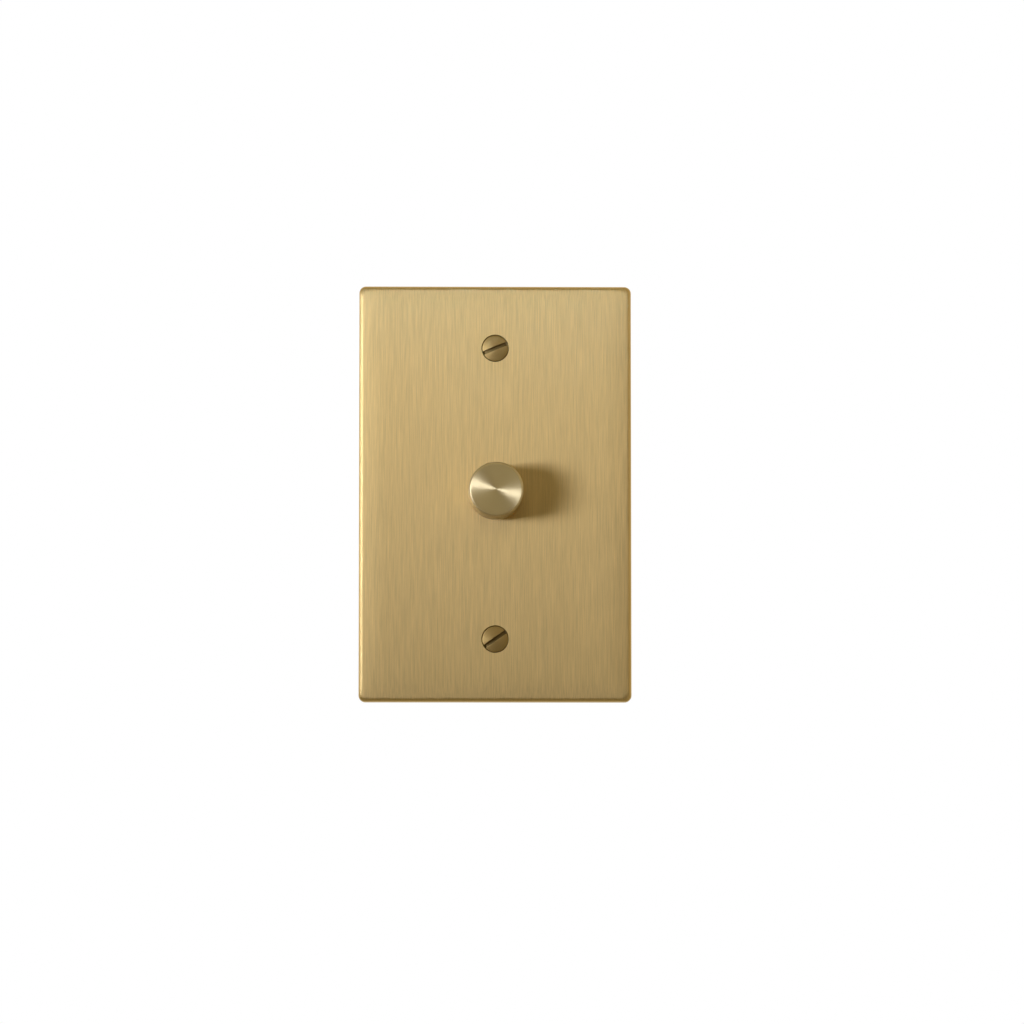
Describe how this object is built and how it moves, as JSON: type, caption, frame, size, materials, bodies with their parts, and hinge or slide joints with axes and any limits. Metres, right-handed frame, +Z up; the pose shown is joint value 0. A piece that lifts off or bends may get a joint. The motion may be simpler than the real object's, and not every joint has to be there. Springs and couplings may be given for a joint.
{
  "type": "rotary dimmer wall switch",
  "caption": "Brass wall plate with a turned metal knob that pushes to switch a light and turns to dim it, on a module for a wall box.",
  "frame": {"origin": "on the knob's axis, midway between the two box screws, in the plane of the wall's surface", "axes": "+Z up, +Y into the wall, +X to the viewer's right; the plate's face looks along -Y"},
  "size_m": [0.0778, 0.0439, 0.119],
  "materials": {
    "plate_brass": "brushed lengthwise, lacquered",
    "screw_brass": "turned and polished",
    "liner_fibre": "pressed insulating fibre",
    "boss_brass": "turned",
    "washer_zinc": "bright zinc plate",
    "earth_green": "green coated steel",
    "knob_brass": "fine turned face, smooth side",
    "insert_nylon": "natural nylon",
    "leaf_steel": "spring steel",
    "shaft_zinc": "turned",
    "clip_steel": "blackened spring steel",
    "bush_zinc": "die cast, cut thread",
    "nut_zinc": "bright zinc plate",
    "sink_aluminium": "mill finish sheet",
    "housing_black": "fine spark texture",
    "label_white": "blank printed film",
    "housing_screw_zinc": "zinc plate",
    "board_green": "solder mask over glass fibre",
    "pot_steel": "plated pressing",
    "track_carbon": "phenolic with carbon track",
    "rotor_plastic": "moulded acetal",
    "wiper_bronze": "phosphor bronze strip",
    "switch_plastic": "moulded polyester",
    "slider_plastic": "moulded acetal",
    "contact_copper": "copper strip",
    "contact_silver": "silver alloy",
    "spring_wire": "drawn wire",
    "pad_silicone": "filled silicone rubber",
    "tab_copper": "tinned copper",
    "epoxy_black": "moulded epoxy",
    "lead_tin": "tinned",
    "core_ferrite": "coated powder core",
    "wire_enamel": "enamelled copper wire",
    "film_yellow": "moulded case",
    "can_sleeve": "shrunk sleeve",
    "resistor_coat": "dipped lacquer with bands",
    "cage_brass": "extruded, sawn",
    "terminal_zinc": "zinc plate"
  },
  "bodies": {
    "plate_and_module": {"front_plate": "plate_brass", "plate_screws": "screw_brass", "insulating_liner": "liner_fibre", "earth_boss": "boss_brass", "earth_washer": "washer_zinc", "earth_screw": "earth_green", "mounting_bush": "bush_zinc", "bush_nut": "nut_zinc", "lock_washer": "washer_zinc", "heat_sink": "sink_aluminium", "housing_front": "housing_black", "housing_rear": "housing_black", "rating_label": "label_white", "housing_screws": "housing_screw_zinc", "circuit_board": "board_green", "pot_body": "pot_steel", "pot_track": "track_carbon", "switch_body": "switch_plastic", "fixed_contacts": "contact_silver", "return_spring": "spring_wire", "thermal_pad": "pad_silicone", "transistor_tabs": "tab_copper", "power_transistors": "epoxy_black", "transistor_leads": "lead_tin", "transistor_screws": "housing_screw_zinc", "choke_core": "core_ferrite", "choke_winding": "wire_enamel", "film_capacitor": "film_yellow", "electrolytic_capacitor": "can_sleeve", "resistors": "resistor_coat", "controller_chip": "epoxy_black", "controller_pins": "lead_tin", "terminal_cages": "cage_brass", "terminal_screws": "terminal_zinc"},
    "push_slider": {"switch_slider": "slider_plastic", "contact_bridge": "contact_copper"},
    "knob_and_shaft": {"knob": "knob_brass", "knob_insert": "insert_nylon", "insert_spring": "leaf_steel", "shaft": "shaft_zinc", "shaft_clip": "clip_steel"},
    "pot_rotor": {"pot_rotor": "rotor_plastic", "pot_wiper": "wiper_bronze"}
  },
  "joints": [
    {"name": "knob_push", "type": "slide", "parent": "plate_and_module", "child": "push_slider", "axis": [0, 1, 0], "range_m": [0, 0.0018], "stiffness_N_per_m": 1000, "springref_m": -0.002, "deforming": ["return_spring"]},
    {"name": "knob_turn", "type": "hinge", "parent": "push_slider", "child": "knob_and_shaft", "pos_m": [0, 0, 0], "axis": [0, 1, 0], "range_deg": [-135, 135]},
    {"name": "rotor_turn", "type": "hinge", "parent": "plate_and_module", "child": "pot_rotor", "pos_m": [0, 0, 0], "axis": [0, 1, 0], "range_deg": [-135, 135]}
  ],
  "couplings": [
    {"joint": "rotor_turn", "follows": "knob_turn", "ratio": 1}
  ]
}
